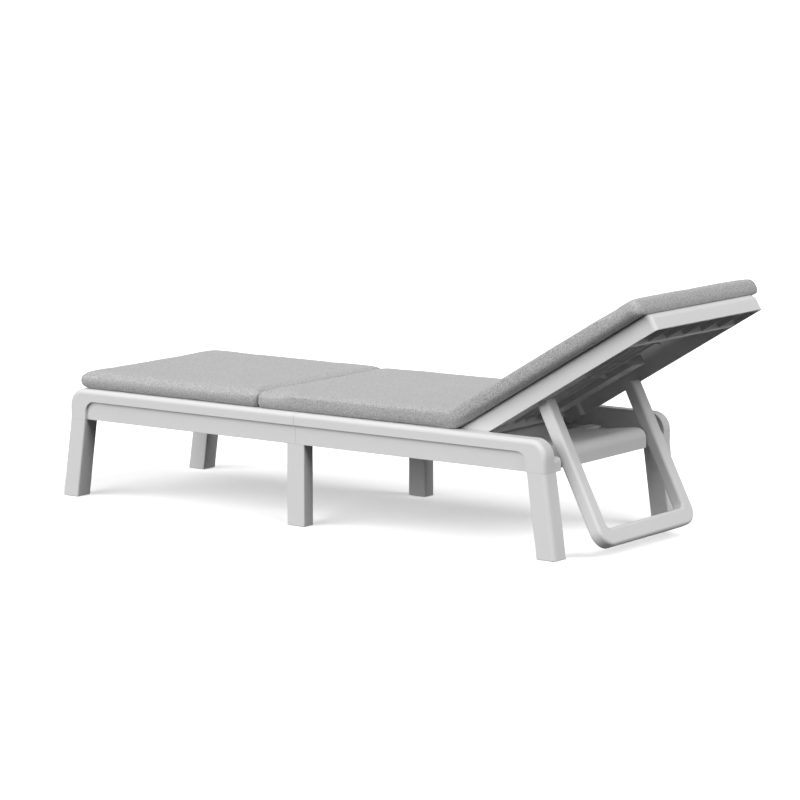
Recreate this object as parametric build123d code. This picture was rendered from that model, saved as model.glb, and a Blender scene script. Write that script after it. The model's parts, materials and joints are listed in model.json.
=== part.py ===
"""Garden lounger with a tilting backrest, a U prop and three loose pads.

+X runs from the foot end to the head end, +Y is the right of a person lying
on it, +Z is up. The model is drawn from the foot legs' floor face and is moved
at the end so that its box is centred on the origin, standing on the floor.
"""
import copy
from math import cos, radians, sin, sqrt
import os

from build123d import *

# Frame: rails, aprons and end corners
frame_length = 1675.0
frame_half_width = 310.0
rail_top = 311.0
cap_height = 34.0
apron_height = 52.0
apron_inset = 8.0
rail_width = 42.0
rail_wall = 5.0
end_round = 48.0
edge_round = 13.0
soft_round = 3.0
band_corner = 31.0
corner_reach = 74.0
corner_depth = 42.0
corner_round = 14.0
seam_offset = 5.5
seam_gap = 0.4
ledge_width = 18.0
ledge_thickness = 5.0
deck_height = 56.0

# Legs and glides
leg_width = 59.0
leg_depth = 55.0
leg_splay = 32.0
mid_leg_depth = 41.0
leg_wall = 5.0
leg_round = 13.0
leg_inner_round = 5.0
mid_leg_round = 3.0
mid_leg_inner_round = 4.0
leg_floor_gap = 1.5
tenon_height = 32.0
end_tenon_length = 74.0
mid_tenon_length = 150.0
glide_height = 12.0

# Crossbars
crossbar_wall = 5.0
mid_crossbar_width = 40.0
tongue_length = 26.0
well_length = 232.0
slot_length = 198.0
slot_width = 58.0
channel_setback = 47.0
channel_floor = 4.0
ridge_drop = 29.5
ridge_setback = 34.0
ridge_round = 26.0
crossbar_rib = 4.0
crossbar_rib_count = 3
strip_tongue_width = 30.0
strip_tongue_height = 12.0
strip_tongue_length = 16.0
strip_tongue_place = 70.0

# Decks
deck_skin = 6.0
deck_flange = 8.0
deck_slot_width = 16.0
deck_slot_pitch = 42.0
deck_border = 46.0
deck_rib = 6.0
deck_rib_place = 95.0
seat_deck_setback = 36.0

# Backrest
hinge_setback = 291.5
hinge_drop = 30.5
rest_tilt = 31.0
back_side_gap = 4.5
back_length = 681.0
back_front = 10.0
back_top = 31.5
back_under = 17.8
back_floor_gap = 1.5
back_skin = 4.0
back_wall = 6.0
back_edge_round = 11.0
back_end_round = 20.0
back_rib = 4.0
rib_depth = 18.0
knuckle_width = 26.0
cross_rib_first = 255.0
cross_rib_middle = 340.0
cross_rib_last = 450.0
head_rail_setback = 106.0
head_rail_width = 14.0
gusset_count = 5
long_rib_gap = 50.0

# Racks under the backrest
rack_gap = 17.0
rack_width = 68.0
rack_start = 44.0
rack_end = 340.0
rack_rise = 20.5
notch_width = 13.0
notch_depth = 9.0
notch_count = 5
notch_pitch = 30.0
notch_first = 128.0
rack_hole_radius = 4.0
rack_hole_depth = 12.0
rack_hole_first = 228.0
rack_hole_last = 244.0
rack_hole_inset = 8.0

# Prop
prop_pivot_setback = 8.0
prop_pivot_drop = 66.0
prop_lean = 26.9
arm_side_gap = 6.5
arm_width = 42.5
arm_depth = 37.0
arm_setback = 16.9
arm_top = 165.5
bar_bottom = 249.0
bar_height = 47.0
prop_round = 8.5
prop_corner = 48.0
prop_inner_corner = 14.0
hub_radius = 14.0

# Pins, bushes and screws
hinge_pin_radius = 6.0
prop_pin_radius = 5.0
pin_head_radius = 9.0
pin_head_height = 4.0
bush_wall = 2.0
running_clearance = 0.08
pin_grip = 20.0
pin_bore_grip = 22.0
screw_radius = 2.5
screw_head_radius = 5.0
screw_head_height = 3.0
screw_length = 20.0
screw_level = 12.0
deck_screw_radius = 2.0
screw_clearance = 0.1

# Pads
pad_side_inset = 10.0
pad_edge = 42.0
pad_crown = 5.0
pad_plan_round = 26.0
pad_front_inset = 28.0
pad_split_setback = 139.0
pad_split_gap = 1.0
pad_end_inset = 5.0
pad_lift = 0.3
mitre_gap = 0.6

# Fits that several pieces share
fit_clearance = 0.3
side_clearance = 1.5
overrun = 5.0

# Places worked out from the sizes
apron_bottom = rail_top - cap_height - apron_height
rail_inner = frame_half_width - rail_width
rail_end = frame_length - leg_splay
cavity_outer = frame_half_width - apron_inset - rail_wall
cavity_inner = rail_inner + rail_wall
block_inner = frame_half_width - corner_reach
ledge_level = rail_top - deck_height
crossbar_end = block_inner - slot_width
tenon_outer = cavity_outer - fit_clearance
tenon_inner = cavity_inner + fit_clearance
screw_z = apron_bottom + screw_level
deck_edge = rail_inner - side_clearance
seam_place = frame_length / 2 - seam_offset
hinge_x = rail_end - hinge_setback
hinge_z = rail_top - hinge_drop
pass_level = hinge_z - back_under - back_floor_gap
well_front = rail_end - well_length
slot_front = rail_end - slot_length
well_floor = pass_level
ridge_level = rail_top - ridge_drop
seat_deck_end = hinge_x - seat_deck_setback
back_half_width = rail_inner - back_side_gap
cross_rib_places = (cross_rib_first, cross_rib_middle, cross_rib_last)
head_rail_place = back_length - head_rail_setback
prop_pivot_x = rail_end - prop_pivot_setback
prop_pivot_z = rail_top - prop_pivot_drop
arm_outer = block_inner - arm_side_gap
arm_inner = arm_outer - arm_width
rack_outer = arm_inner - rack_gap
rack_inner = rack_outer - rack_width
long_rib_place = rack_inner - long_rib_gap
rack_hole_places = (rack_hole_first, rack_hole_last)
pad_half_width = frame_half_width - pad_side_inset
pad_split = seam_place - pad_split_setback
pad_end = back_length - pad_end_inset
pad_front = leg_splay + pad_front_inset


def block(x0, x1, y0, y1, z0, z1):
    """A box between six planes."""
    place = Pos((x0 + x1) / 2, (y0 + y1) / 2, (z0 + z1) / 2)
    return place * Box(x1 - x0, y1 - y0, z1 - z0)


def outline(*points):
    """A flat face through the given points."""
    return make_face(Polyline(*points, close=True))


def along_y(face, y0, y1):
    """A face drawn in X and Z, made solid from y0 to y1."""
    return extrude(Plane.XZ.offset(-y1) * face, amount=y1 - y0)


def along_x(face, x0, x1):
    """A face drawn in Y and Z, made solid from x0 to x1."""
    return extrude(Plane.YZ.offset(x0) * face, amount=x1 - x0)


def along_z(face, z0, z1):
    """A face drawn in X and Y, made solid from z0 to z1."""
    return extrude(Plane.XY.offset(z0) * face, amount=z1 - z0)


def rod_y(x, z, radius, y0, y1):
    """A round bar along Y."""
    return along_y(Pos(x, z) * Circle(radius), y0, y1)


def rod_z(x, y, radius, z0, z1):
    """A round bar along Z."""
    return along_z(Pos(x, y) * Circle(radius), z0, z1)


def round_corner(face, radius, high_x=True, high_y=True):
    """Round one corner of a flat face, found by its side and its height."""
    ends = face.vertices().sort_by(Axis.X)
    pair = ends[-2:] if high_x else ends[:2]
    corner = pair.sort_by(Axis.Y)[-1 if high_y else 0]
    return fillet(corner, radius)


def other_side(shape):
    """The same shape on the other side of the middle plane."""
    return mirror(shape, about=Plane.XZ)


def other_end(shape):
    """The same shape at the other end of the frame."""
    return mirror(shape, about=Plane.YZ.offset(frame_length / 2))


def both_sides(shape):
    """A group of a left piece and its right twin."""
    return Compound(children=[shape, other_side(shape)])


# Rails

def rail_side_face(start, inset=0):
    """The rail's side view: straight, with its end rounded over."""
    low = apron_bottom - (overrun if inset else 0)
    high = rail_top - inset
    end = rail_end - inset
    face = outline((start, low), (end, low), (end, high), (start, high))
    return round_corner(face, end_round - inset)


def panel_face(start):
    """The sunk apron panel below the rail's cap."""
    end = rail_end - leg_width
    low = apron_bottom - overrun
    high = rail_top - cap_height
    face = outline((start, low), (end, low), (end, high), (start, high))
    return round_corner(face, band_corner)


def is_outer_edge(edge, start):
    """True for the rail's outer edges, but for the bottom and the seam."""
    middle = edge.center()
    on_face = abs(middle.Y + frame_half_width) < fit_clearance
    return on_face and middle.Z > apron_bottom + soft_round and middle.X > start + soft_round


def corner_body(level, y0, y1, inset=0):
    """A corner block beside the rail: the rail's end, cut off at a level."""
    start = rail_end - corner_depth + inset
    low = apron_bottom - (overrun if inset else 0)
    high = level - inset
    end = rail_end - inset
    limit = outline((start, low), (end, low), (end, high), (start, high))
    limit = round_corner(limit, corner_round - inset)
    return along_y(rail_side_face(start - end_round, inset), y0, y1) & along_y(limit, y0, y1)


def rail_body(start, corner_level):
    """The outside of the left rail's head half."""
    side = along_y(rail_side_face(start), -frame_half_width, -rail_inner)
    side = fillet(side.edges().filter_by(lambda edge: is_outer_edge(edge, start)), edge_round)
    return side + corner_body(corner_level, -rail_inner, -block_inner)


def rail_cavity(start, corner_level, block_end):
    """The hollow inside the rail and its corner, open below."""
    side = along_y(rail_side_face(start - overrun, rail_wall), -cavity_outer, -cavity_inner)
    return side + corner_body(corner_level, -cavity_inner, -block_end, rail_wall)


def head_half_rail(start, corner_level, block_end):
    """The left rail from the seam to the head end."""
    body = rail_body(start, corner_level)
    body -= along_y(panel_face(start - overrun), -frame_half_width - overrun,
                    apron_inset - frame_half_width)
    body -= rail_cavity(start, corner_level, block_end)
    ledge = block(start, rail_end - corner_depth, -rail_inner, ledge_width - rail_inner,
                  ledge_level - ledge_thickness, ledge_level)
    return body + ledge


def screw_holes(places, depth_start, depth_end):
    """Holes through the rail's inner wall at the given places along X."""
    radius = screw_radius + screw_clearance
    holes = [rod_y(x, screw_z, radius, depth_start, depth_end) for x in places]
    return Compound(children=holes)


def end_screw_places():
    """Two screws hold each end leg, between the leg's outside and the corner."""
    last = rail_end - corner_depth - screw_head_radius - soft_round
    return (last - screw_head_radius - screw_head_radius - soft_round, last)


def mid_screw_places():
    """Four screws hold the middle leg, two in each half of the rail."""
    near = mid_crossbar_width / 2 + screw_head_radius + soft_round
    far = mid_tenon_length / 2 - screw_head_radius - soft_round
    return [seam_place + offset for offset in (-far, -near, near, far)]


def deck_screw_places():
    """Each deck has two screws on each side."""
    inset = deck_border + end_tenon_length
    foot_places = (frame_length - rail_end + inset, seam_place - inset)
    seat_places = (seam_place + inset, seat_deck_end - deck_border)
    return foot_places + seat_places


def cut_rail_holes(rail):
    """Cut the screw and pin holes that fall on this rail."""
    wall = (-cavity_inner - overrun, overrun - rail_inner)
    ends = end_screw_places()
    starts = [frame_length - x for x in ends]
    rail -= screw_holes([*ends, *starts, *mid_screw_places()], *wall)
    rail -= rod_y(seam_place, screw_z, screw_radius + screw_clearance, *wall)
    rail -= rod_y(hinge_x, hinge_z, hinge_pin_radius + fit_clearance / 2, *wall)
    block_wall = (-block_inner - pin_grip - fit_clearance, overrun - block_inner)
    rail -= rod_y(prop_pivot_x, prop_pivot_z, prop_pin_radius + fit_clearance / 2, *block_wall)
    radius = deck_screw_radius + screw_clearance
    for x in deck_screw_places():
        rail -= rod_z(x, -deck_screw_line(), radius, ledge_level - ledge_thickness - overrun,
                      ledge_level + overrun)
    return rail


def deck_screw_line():
    """Distance of the deck's screws from the middle plane."""
    return deck_edge - deck_flange / 2


def make_rails():
    """The four rail halves."""
    head = head_half_rail(seam_place + seam_gap / 2, pass_level, block_inner + pin_bore_grip)
    foot_start = frame_length - seam_place + seam_gap / 2
    foot = other_end(head_half_rail(foot_start, rail_top, block_inner - overrun))
    head = cut_rail_holes(head)
    foot = cut_rail_holes(foot)
    return {
        "side_rail_left_head": head,
        "side_rail_right_head": other_side(head),
        "side_rail_left_foot": foot,
        "side_rail_right_foot": other_side(foot),
    }


# Legs

def leg_plan(width, depth, rounds, inset=0):
    """The leg's section seen from above, less a wall all round.

    rounds are the radii of the outer head, outer foot and both inner corners."""
    half_x = width / 2 - inset
    half_y = depth / 2 - inset
    face = outline((-half_x, -half_y), (half_x, -half_y), (half_x, half_y), (-half_x, half_y))
    outer_head, outer_foot, inner = [max(radius - inset, soft_round / 2) for radius in rounds]
    corners = face.vertices().sort_by(Axis.Y)
    face = fillet(corners[-2:], inner)
    outer = face.vertices().sort_by(Axis.Y)[:2].sort_by(Axis.X)
    face = fillet(outer[-1], outer_head)
    outer = face.vertices().filter_by(
        lambda vertex: abs(vertex.Y + half_y) + abs(vertex.X + half_x) < fit_clearance)
    return fillet(outer, outer_foot)


def leaning(plan, x_floor, y_middle, lean, z0, z1):
    """A leg section drawn up along the leg's lean."""
    slope = lean / (apron_bottom - leg_floor_gap)
    start = x_floor + slope * (z0 - leg_floor_gap)
    rise = z1 - z0
    run = slope * rise
    face = Pos(start, y_middle, z0) * plan
    return extrude(face, amount=sqrt(rise * rise + run * run), dir=(run, 0, rise))


def make_leg(x_floor, y_middle, depth, rounds, lean):
    """A hollow leg, open at the floor."""
    outside = leaning(leg_plan(leg_width, depth, rounds), x_floor, y_middle, lean,
                      leg_floor_gap, apron_bottom)
    inside = leaning(leg_plan(leg_width, depth, rounds, leg_wall), x_floor, y_middle, lean,
                     leg_floor_gap - overrun, apron_bottom - leg_wall)
    return outside - inside


def tenon(x0, x1, holes):
    """The block on a leg that fills the rail from below, with its screw holes."""
    body = block(x0, x1, -tenon_outer, -tenon_inner, apron_bottom, apron_bottom + tenon_height)
    return body - screw_holes(holes, -tenon_outer - overrun, overrun - tenon_inner)


def make_legs():
    """Six legs and their glides."""
    end_y = leg_depth / 2 - frame_half_width
    mid_y = apron_inset + mid_leg_depth / 2 - frame_half_width
    floor_x = frame_length - leg_width / 2
    end_rounds = (leg_round, leg_inner_round, leg_inner_round)
    mid_rounds = (mid_leg_round, mid_leg_round, mid_leg_inner_round)
    head = make_leg(floor_x, end_y, leg_depth, end_rounds, -leg_splay)
    tenon_end = rail_end - rail_wall - fit_clearance
    head += tenon(tenon_end - end_tenon_length, tenon_end, end_screw_places())
    foot = other_end(head)
    mid = make_leg(seam_place, mid_y, mid_leg_depth, mid_rounds, 0)
    half = mid_tenon_length / 2
    mid += tenon(seam_place - half, seam_place + half, [*mid_screw_places(), seam_place])
    pieces = {}
    for name, leg in (("foot", foot), ("mid", mid), ("head", head)):
        pieces[f"leg_{name}_left"] = leg
        pieces[f"leg_{name}_right"] = other_side(leg)
    glides = [make_glide(floor_x, end_y, leg_depth, end_rounds, -leg_splay)]
    glides.append(other_end(glides[0]))
    glides.append(make_glide(seam_place, mid_y, mid_leg_depth, mid_rounds, 0))
    glides += [other_side(glide) for glide in glides]
    pieces["leg_glides"] = Compound(children=glides)
    return pieces


def make_glide(x_floor, y_middle, depth, rounds, lean):
    """A soft plug that fills the open foot of a leg and stands on the floor."""
    plan = leg_plan(leg_width, depth, rounds, leg_wall + fit_clearance)
    return leaning(plan, x_floor, y_middle, lean, 0, glide_height)


# Crossbars

def foot_crossbar():
    """The frame's foot end, hollow below, with a tongue into each corner."""
    end = block_inner - fit_clearance
    start = rail_end - corner_depth
    outside = along_y(rail_side_face(start - end_round), -end, end)
    outside &= block(start, rail_end, -end, end, apron_bottom, rail_top)
    inside = along_y(rail_side_face(start - end_round, rail_wall), crossbar_wall - end,
                     end - crossbar_wall)
    inside &= block(start + rail_wall, rail_end, -end, end, apron_bottom - overrun, rail_top)
    tongue = block(start + rail_wall + fit_clearance, rail_end - rail_wall - fit_clearance,
                   -end - tongue_length, -end, apron_bottom, apron_bottom + tenon_height)
    return other_end(outside - inside + tongue + other_side(tongue))


def mid_crossbar():
    """The bar under the two decks' joint; its ends pass below the ledges."""
    half = mid_crossbar_width / 2
    x0 = seam_place - half
    x1 = seam_place + half
    reach = rail_inner - ledge_width - fit_clearance
    body = block(x0, x1, -reach, reach, apron_bottom, ledge_level)
    body -= block(x0 + crossbar_wall, x1 - crossbar_wall, crossbar_wall - reach,
                  reach - crossbar_wall, apron_bottom - overrun, ledge_level - crossbar_wall)
    foot = block(x0, x1, fit_clearance - rail_inner, -reach, apron_bottom,
                 ledge_level - ledge_thickness - fit_clearance)
    foot -= rod_y(seam_place, screw_z, screw_radius + screw_clearance, -rail_inner - overrun,
                  overrun - reach)
    body -= rod_y(seam_place, screw_z, screw_radius + screw_clearance, -reach - overrun,
                  crossbar_wall + overrun - reach)
    foot -= rod_y(seam_place, screw_z, screw_head_radius + fit_clearance,
                  pin_head_height - rail_inner, overrun - reach)
    body -= rod_y(seam_place, screw_z, screw_head_radius + fit_clearance, -reach - overrun,
                  crossbar_wall + overrun - reach)
    return body + foot + other_side(foot)


def well_face(inset=0):
    """Side view of the rear crossbar: a floor that slopes up to a rounded ridge."""
    front = well_front + inset
    back = rail_end - inset
    ridge = rail_end - ridge_setback
    low = apron_bottom - (overrun if inset else 0)
    face = outline((front, low), (back, low), (back, ridge_level - inset),
                   (ridge, ridge_level - inset), (slot_front, well_floor - inset),
                   (front, well_floor - inset))
    return round_corner(face, ridge_round - inset)


def rear_crossbar():
    """The ridge between the arm slots, hollow below, with two tongues in front."""
    end = crossbar_end
    start = slot_front + fit_clearance
    low = apron_bottom + channel_floor + fit_clearance
    reach = block(start, rail_end, -end, end, low, rail_top)
    body = along_y(well_face(), -end, end) & reach
    body -= along_y(well_face(crossbar_wall), crossbar_wall - end, end - crossbar_wall) & block(
        start + crossbar_wall, rail_end, -end, end, low - overrun, rail_top)
    body += along_y(well_face(), -end, end) & crossbar_ribs() & reach
    pin_seat = rod_y(prop_pivot_x, prop_pivot_z, prop_pin_radius + crossbar_wall, -end,
                     pin_bore_grip - end)
    body += (pin_seat + other_side(pin_seat)) & along_y(well_face(), -end, end) & reach
    bore = rod_y(prop_pivot_x, prop_pivot_z, prop_pin_radius + fit_clearance / 2,
                 -end - overrun, pin_grip - end)
    tongue = strip_tongue(0)
    return body + tongue + other_side(tongue) - bore - other_side(bore)


def strip_tongue(inset):
    """A tongue of the rear crossbar, or with an inset its window in the strip."""
    low = apron_bottom + channel_floor + crossbar_wall
    return block(slot_front - strip_tongue_length - inset, slot_front + crossbar_wall,
                 strip_tongue_place - inset, strip_tongue_place + strip_tongue_width + inset,
                 low - inset, low + strip_tongue_height + inset)


def rear_strip():
    """The level floor in front of the ridge, wide above the ledges, a box below."""
    wide = deck_edge
    reach = rail_inner - ledge_width - fit_clearance
    low = apron_bottom + channel_floor + fit_clearance
    body = block(well_front, slot_front, -wide, wide, ledge_level + fit_clearance, well_floor)
    body += block(well_front, slot_front, -reach, reach, low, well_floor)
    body -= block(well_front + crossbar_wall, slot_front - crossbar_wall, crossbar_wall - reach,
                  reach - crossbar_wall, low - overrun, well_floor - crossbar_wall)
    window = strip_tongue(fit_clearance)
    return body - window - other_side(window)


def slot_floor():
    """A thin floor below the strip, the ridge and both arm slots."""
    reach = rail_inner - ledge_width - fit_clearance
    return block(well_front, rail_end - channel_setback, -reach, reach, apron_bottom,
                 apron_bottom + channel_floor)


def crossbar_ribs():
    """Stiffening ribs across the hollow of the rear crossbar."""
    pitch = (crossbar_end + crossbar_end) / (crossbar_rib_count + 1)
    ribs = []
    for index in range(crossbar_rib_count):
        y = pitch * (index + 1) - crossbar_end
        ribs.append(block(well_front, rail_end - crossbar_wall / 2, y - crossbar_rib / 2,
                          y + crossbar_rib / 2, apron_bottom, ridge_level))
    return Compound(children=ribs)


# Decks

def deck_lip(x1):
    """An apron below a deck's head end, between the two ledges."""
    reach = rail_inner - ledge_width - fit_clearance
    return block(x1 - deck_flange, x1, -reach, reach, apron_bottom, ledge_level)


def make_deck(x0, x1):
    """A slotted deck on flanges that stand on the rails' ledges."""
    body = block(x0, x1, -deck_edge, deck_edge, ledge_level, rail_top)
    body -= block(x0 + deck_flange, x1 - deck_flange, deck_flange - deck_edge,
                  deck_edge - deck_flange, ledge_level - overrun, rail_top - deck_skin)
    ribs = block(x0 + deck_flange / 2, x1 - deck_flange / 2, deck_rib_place,
                 deck_rib_place + deck_rib, ledge_level, rail_top)
    body += ribs + other_side(ribs)
    inside = deck_edge - deck_border
    count = int((x1 - x0 - deck_border - deck_border) / deck_slot_pitch)
    first = (x0 + x1) / 2 - deck_slot_pitch * (count - 1) / 2
    inner_end = deck_rib_place - deck_rib
    outer_start = deck_rib_place + deck_rib + deck_rib
    for index in range(count):
        x = first + deck_slot_pitch * index
        half = deck_slot_width / 2
        for y0, y1 in ((-inside, -outer_start), (-inner_end, inner_end), (outer_start, inside)):
            body -= block(x - half, x + half, y0, y1, rail_top - deck_skin - overrun,
                          rail_top + overrun)
    radius = deck_screw_radius + screw_clearance
    for x in deck_screw_places():
        if x0 < x < x1:
            hole = rod_z(x, -deck_screw_line(), radius, ledge_level - overrun,
                         ledge_level + screw_length + fit_clearance)
            body -= hole + other_side(hole)
    return body


# Backrest, drawn lying flat with the hinge on its origin

def tilted(shape):
    """Turn a backrest piece up about the hinge and put it in its place."""
    tilt = radians(rest_tilt)
    plane = Plane(origin=(hinge_x, 0, hinge_z), x_dir=(cos(tilt), 0, sin(tilt)),
                  z_dir=(-sin(tilt), 0, cos(tilt)))
    return plane.location * shape


def back_tray(inset, skin, low):
    """A tray's solid: a large round over its head end, smaller ones up its sides."""
    half = back_half_width - inset
    high = back_top - skin
    start = -back_front - (overrun if inset else 0)
    profile = outline((start, low), (back_length - inset, low),
                      (back_length - inset, high), (start, high))
    tray = along_y(round_corner(profile, back_end_round - inset), -half, half)
    sides = tray.edges().filter_by(
        lambda edge: abs(edge.center().Y) > half - fit_clearance
        and edge.center().Z > low + fit_clearance and edge.center().X > start + fit_clearance)
    return fillet(sides, back_edge_round - skin)


def back_outside():
    """The tray's outside."""
    return back_tray(0, 0, -back_under)


def back_inside():
    """The tray's hollow, open below and at the hinge end."""
    return back_tray(back_wall, back_skin, -back_under - overrun)


def knuckle_places():
    """The side planes of the left knuckle."""
    return -back_half_width, knuckle_width - back_half_width


def knuckle_neck():
    """The block that joins a knuckle's eye to the tray."""
    y0, y1 = knuckle_places()
    neck = block(-back_front, rack_start, y0, y1, -back_under, back_top - back_skin / 2)
    return neck - block(-back_front - overrun, 0, y0 - overrun, y1 + overrun,
                        -back_under - overrun, 0)


def back_ribs():
    """Ribs on the tray's underside."""
    top = back_top - back_skin / 2
    low = top - rib_depth
    inner = rack_inner - side_clearance
    ribs = []
    for place in cross_rib_places:
        rib = block(place - back_rib / 2, place + back_rib / 2, -inner, inner, low, top)
        arch = rod_z_arch(place, inner, low)
        ribs.append(rib - arch)
    end = back_length - back_wall / 2
    for side in (-1, 0, 1):
        y = long_rib_place * side
        ribs.append(block(0, end, y - back_rib / 2, y + back_rib / 2, low, top))
    beam_inner = back_half_width - back_wall / 2
    head_low = fit_clearance - back_under
    ribs.append(block(head_rail_place, head_rail_place + head_rail_width, -beam_inner,
                      beam_inner, head_low, top))
    pitch = (beam_inner + beam_inner) / (gusset_count + 1)
    for index in range(gusset_count):
        y = pitch * (index + 1) - beam_inner
        ribs.append(block(head_rail_place, end, y - back_rib / 2, y + back_rib / 2,
                          head_low, top))
    return ribs


def rod_z_arch(place, half_span, low):
    """A shallow round cut that arches the lower edge of a cross rib."""
    rise = rib_depth / 2
    radius = (half_span * half_span + rise * rise) / (rise + rise)
    centre = low + rise - radius
    disc = Plane.YZ.offset(place - back_rib) * Pos(0, centre) * Circle(radius)
    return extrude(disc, amount=back_rib + back_rib)


def backrest_panel():
    """The backrest moulding."""
    outside = back_outside()
    body = outside - back_inside()
    front = block(-back_front, back_rib - back_front, -back_half_width, back_half_width,
                  0, back_top - back_skin / 2)
    neck = knuckle_neck()
    inner = front + neck + other_side(neck)
    for rib in back_ribs():
        inner += rib
    body += inner & outside
    eye = rod_y(0, 0, back_under, *knuckle_places())
    body += eye + other_side(eye)
    bore = rod_y(0, 0, bush_radius() + fit_clearance / 2, -back_half_width - overrun,
                 pin_bore_grip + fit_clearance - back_half_width)
    body -= bore + other_side(bore)
    for x, y in rack_screw_places():
        hole = rod_z(x, y, screw_radius + screw_clearance, rack_top() - overrun,
                     rack_top() + back_skin / 2)
        body -= hole + other_side(hole)
    return body


def bush_radius():
    """Outside radius of the hinge bush."""
    return hinge_pin_radius + running_clearance + bush_wall


def hinge_bushes():
    """A plain bush in each knuckle."""
    outside = rod_y(0, 0, bush_radius(), fit_clearance - back_half_width,
                    pin_bore_grip - back_half_width)
    bore = rod_y(0, 0, hinge_pin_radius + running_clearance, -back_half_width,
                 pin_bore_grip + overrun - back_half_width)
    return both_sides(outside - bore)


# Racks

def rack_top():
    """The racks hang on the underside of the tray's skin."""
    return back_top - back_skin - fit_clearance / 2


def rack_screw_places():
    """Three screws hold each rack, along its middle line."""
    middle = -(rack_inner + rack_outer) / 2
    inset = notch_pitch
    return ((rack_start + inset, middle), ((rack_start + rack_end) / 2, middle),
            (rack_end - inset, middle))


def rack_left():
    """A hollow bar with notches along its outer lower edge."""
    low = rack_rise - back_under
    body = block(rack_start + fit_clearance, rack_end, -rack_outer, -rack_inner, low, rack_top())
    body -= block(rack_start, rack_end - rack_wall(), rack_wall() - rack_outer,
                  -rack_wall() - rack_inner, low + rack_wall(), rack_top() + overrun)
    seat = low + rack_wall()
    for x, y in rack_screw_places():
        body += rod_z(x, y, screw_head_radius + rack_wall() / 2, low, rack_top())
    for x, y in rack_screw_places():
        body -= rod_z(x, y, screw_radius + screw_clearance, low, rack_top() + overrun)
        body -= rod_z(x, y, screw_head_radius + fit_clearance, low - overrun, seat)
    for index in range(notch_count):
        x = notch_first + notch_pitch * index
        body -= block(x, x + notch_width, -rack_outer - overrun, notch_depth - rack_outer,
                      low - overrun, low + notch_depth)
    for x in rack_hole_places:
        body -= rod_z(x, rack_hole_inset + notch_depth - rack_outer, rack_hole_radius,
                      low - overrun, low + rack_hole_depth)
    return body


def rack_wall():
    """The racks have the same wall as the tray's skin."""
    return back_skin


def rack_screws():
    """The screws that hold both racks."""
    screws = []
    low = rack_rise - back_under
    head = low + rack_wall()
    for x, y in rack_screw_places():
        screws.append(rod_z(x, y, screw_radius, head - screw_head_height / 2, rack_top() + back_skin / 3)
                      + rod_z(x, y, screw_head_radius, head - screw_head_height, head))
    screws += [other_side(screw) for screw in screws]
    return Compound(children=screws)


# Prop, drawn with its pivot on the origin, its X down the arms and its Z to the rear

def leaned(shape):
    """Hang a prop piece from its pivot at the prop's lean."""
    lean = radians(prop_lean)
    plane = Plane(origin=(prop_pivot_x, 0, prop_pivot_z), x_dir=(sin(lean), 0, -cos(lean)),
                  z_dir=(cos(lean), 0, sin(lean)))
    return plane.location * shape


def prop_frame():
    """A U of two arms and a cross bar, with a hub on each arm."""
    low = arm_setback - arm_depth / 2
    high = arm_setback + arm_depth / 2
    plan = outline((-arm_top, -arm_outer), (bar_bottom, -arm_outer), (bar_bottom, arm_outer),
                   (-arm_top, arm_outer))
    plan = fillet(plan.vertices().sort_by(Axis.X)[-2:], prop_corner)
    gap = outline((-arm_top - overrun, -arm_inner), (bar_bottom - bar_height, -arm_inner),
                  (bar_bottom - bar_height, arm_inner), (-arm_top - overrun, arm_inner))
    gap = fillet(gap.vertices().sort_by(Axis.X)[-2:], prop_inner_corner)
    body = along_z(plan - gap, low, high)
    faces = body.faces().filter_by(Axis.Z)
    body = fillet([edge for face in faces for edge in face.edges()
                   if edge.center().X > prop_round - arm_top], prop_round)
    side = outline((-arm_top, low), (bar_bottom, low), (bar_bottom, high), (-arm_top, high))
    side = fillet(side.vertices().sort_by(Axis.X)[:2], arm_depth / 2 - fit_clearance)
    body &= along_y(side, -arm_outer, arm_outer)
    hub = rod_y(0, 0, hub_radius, -arm_outer, -arm_inner)
    hub += block(-hub_radius, hub_radius, -arm_outer, -arm_inner, 0, arm_setback)
    body = body + hub + other_side(hub)
    bore = rod_y(0, 0, prop_bush_radius() + fit_clearance / 2, -arm_outer - overrun,
                 overrun - arm_inner)
    return body - bore - other_side(bore)


def prop_bush_radius():
    """Outside radius of the prop's bush."""
    return prop_pin_radius + running_clearance + bush_wall


def prop_bushes():
    """A plain bush through each hub."""
    outside = rod_y(0, 0, prop_bush_radius(), -arm_outer - fit_clearance,
                    fit_clearance - arm_inner)
    bore = rod_y(0, 0, prop_pin_radius + running_clearance, -arm_outer - overrun,
                 overrun - arm_inner)
    return both_sides(outside - bore)


# Pins and screws on the frame

def make_pins():
    """Hinge pins from inside the rails, and prop pins across the arm slots."""
    hinge = rod_y(hinge_x, hinge_z, hinge_pin_radius, -cavity_inner - fit_clearance,
                  pin_grip - back_half_width)
    hinge += rod_y(hinge_x, hinge_z, pin_head_radius, -cavity_inner - pin_head_height,
                   -cavity_inner - fit_clearance / 2)
    prop = rod_y(prop_pivot_x, prop_pivot_z, prop_pin_radius, -block_inner - pin_grip,
                 pin_grip - fit_clearance - crossbar_end)
    return {"hinge_pins": both_sides(hinge), "prop_pins": both_sides(prop)}


def wall_screw(x, start):
    """A screw along Y whose head bears at start and whose point runs outward."""
    shank = rod_y(x, screw_z, screw_radius, start - screw_length, start + screw_clearance)
    head = rod_y(x, screw_z, screw_head_radius, start + screw_clearance,
                 start + screw_head_height)
    return shank + head


def deck_screw(x):
    """A screw up through the ledge into the deck's flange."""
    y = -deck_screw_line()
    low = ledge_level - ledge_thickness
    shank = rod_z(x, y, deck_screw_radius, low - screw_clearance, low + screw_length)
    head = rod_z(x, y, screw_head_radius - screw_clearance, low - screw_head_height,
                 low - screw_clearance)
    return shank + head


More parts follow.
